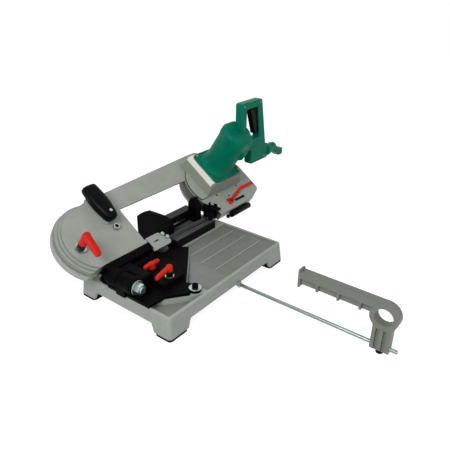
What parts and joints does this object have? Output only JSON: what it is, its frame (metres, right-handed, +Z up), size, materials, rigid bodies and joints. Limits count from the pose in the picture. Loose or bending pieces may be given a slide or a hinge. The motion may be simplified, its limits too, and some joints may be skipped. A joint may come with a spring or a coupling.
{
  "type": "portable band saw",
  "caption": "Portable metal-cutting band saw: a tilted bow with motor and D-handle hinged on a swivelling turret, over a tray base with a vise and a sliding length stop.",
  "frame": {"origin": "on the floor below the middle of the base, at the centre of the bench bolt pattern", "axes": "+X along the blade from the idler end to the motor end, +Y away from the operator along the stock, +Z up"},
  "size_m": [0.767, 0.7853, 0.399],
  "materials": {
    "gray_casting": "satin gray-green casting paint",
    "black_casting": "black, slightly worn",
    "green_housing": "semi-gloss green",
    "red_plastic": "semi-gloss red",
    "red_metal": "red paint on flat steel",
    "black_plastic": "matte black",
    "gray_plastic": "matte gray",
    "cream_plate": "light cream",
    "rubber": "matte black",
    "zinc": "zinc plated",
    "steel": "machined",
    "blade_steel": "ground",
    "wheel_metal": "turned",
    "core_metal": "laminated core"
  },
  "bodies": {
    "stand": {"base_casting": "gray_casting", "rubber_feet": "rubber", "swivel_pin": "steel", "vise_bed": "black_casting", "fixed_jaw": "black_casting", "vise_rail": "black_casting", "stop_rod": "zinc", "stop_rod_nuts": "zinc"},
    "moving_jaw": {"moving_jaw": "black_casting"},
    "vise_screw": {"vise_screw": "steel", "vise_handwheel": "black_plastic"},
    "stop_arm": {"stop_arm": "gray_plastic", "stop_arm_bolt": "black_plastic"},
    "turret": {"turret_casting": "black_casting", "mitre_lock_bolt": "black_casting", "lock_washer": "zinc", "turret_studs": "zinc", "stop_screws": "zinc"},
    "swivel_lever": {"swivel_clamp_lever": "red_plastic", "clamp_collar": "black_plastic"},
    "wing_knob": {"wing_knob": "red_plastic"},
    "bow": {"hinge_arm": "black_casting", "hinge_bolt": "zinc", "hinge_nut_and_washer": "zinc", "bow_casting": "gray_casting", "back_cover": "gray_casting", "saw_blade": "blade_steel", "left_guide_bracket": "gray_casting", "left_guide_block": "black_casting", "right_guide_block": "black_casting", "guide_pads": "steel", "guard_tube": "black_plastic", "bow_bolts": "zinc", "grip_base": "gray_casting", "front_grip": "black_plastic", "tracking_nut": "zinc", "tension_bush": "steel", "gearbox_housing": "gray_casting", "gearbox_plate": "cream_plate", "motor_housing": "green_housing", "motor_cap": "green_housing", "stator": "core_metal", "shaft_bearings": "steel", "housing_screws": "zinc", "handle_front_half": "green_housing", "handle_rear_half": "green_housing", "switch_block": "black_plastic", "cord_gland": "green_housing"},
    "tension_lever": {"tension_cam_shaft": "steel", "tension_lever": "red_plastic"},
    "idler_carriage": {"idler_carriage": "steel", "idler_shaft": "steel"},
    "idler_wheel": {"idler_wheel": "wheel_metal", "idler_bearings": "steel"},
    "drive_wheel": {"drive_wheel": "wheel_metal", "drive_shaft": "steel", "output_gear": "steel"},
    "rotor": {"rotor": "steel"},
    "guide_lever": {"guide_lever": "red_metal"},
    "trigger": {"trigger": "black_plastic"}
  },
  "joints": [
    {"name": "mitre_swivel", "type": "hinge", "parent": "stand", "child": "turret", "pos_m": [-0.02, 0.068, 0.0584], "axis": [0, 0, -1], "range_deg": [0, 45]},
    {"name": "bow_lift", "type": "hinge", "parent": "turret", "child": "bow", "pos_m": [-0.204, 0, 0.085], "axis": [0, -1, 0], "range_deg": [0, 40]},
    {"name": "clamp_turn", "type": "hinge", "parent": "turret", "child": "swivel_lever", "pos_m": [-0.117, -0.05, 0.085], "axis": [0, 0, 1], "range_deg": [-12, 60]},
    {"name": "wing_turn", "type": "hinge", "parent": "turret", "child": "wing_knob", "pos_m": [-0.118, 0.008, 0.085], "axis": [0, 0, 1], "range_deg": [-90, 90]},
    {"name": "drive_spin", "type": "hinge", "parent": "bow", "child": "drive_wheel", "pos_m": [0.239, 0.13353, 0.13439], "axis": [0, -0.5736, 0.8192], "continuous": true},
    {"name": "rotor_spin", "type": "hinge", "parent": "bow", "child": "rotor", "pos_m": [0.261, 0.15483, 0.1493], "axis": [0, -0.5736, 0.8192], "continuous": true},
    {"name": "tension_turn", "type": "hinge", "parent": "bow", "child": "tension_lever", "pos_m": [-0.239, 0.12534, 0.12865], "axis": [0, -0.5736, 0.8192], "range_deg": [0, 95]},
    {"name": "idler_slide", "type": "slide", "parent": "bow", "child": "idler_carriage", "axis": [1, 0, 0], "range_m": [0, 0.004]},
    {"name": "idler_spin", "type": "hinge", "parent": "idler_carriage", "child": "idler_wheel", "pos_m": [-0.177, 0.13353, 0.13439], "axis": [0, -0.5736, 0.8192], "continuous": true},
    {"name": "guide_turn", "type": "hinge", "parent": "bow", "child": "guide_lever", "pos_m": [0.256, 0.0564, 0.11029], "axis": [0, -0.5736, 0.8192], "range_deg": [-30, 0]},
    {"name": "trigger_pull", "type": "slide", "parent": "bow", "child": "trigger", "axis": [1, 0, 0], "range_m": [0, 0.005], "stiffness_N_per_m": 600, "springref_m": -0.002},
    {"name": "vise_turn", "type": "hinge", "parent": "stand", "child": "vise_screw", "pos_m": [0.1, 0.124, 0.08], "axis": [1, 0, 0], "range_deg": [0, 6510]},
    {"name": "jaw_slide", "type": "slide", "parent": "stand", "child": "moving_jaw", "axis": [-1, 0, 0], "range_m": [0, 0.09]},
    {"name": "stop_slide", "type": "slide", "parent": "stand", "child": "stop_arm", "axis": [0, 1, 0], "range_m": [-0.015, 0.14]}
  ],
  "couplings": [
    {"joint": "idler_spin", "follows": "drive_spin", "ratio": 1},
    {"joint": "rotor_spin", "follows": "drive_spin", "ratio": -2.4848},
    {"joint": "tension_turn", "follows": "idler_slide", "rad_per_m": 392.7},
    {"joint": "vise_turn", "follows": "jaw_slide", "rad_per_m": 1256.6}
  ]
}
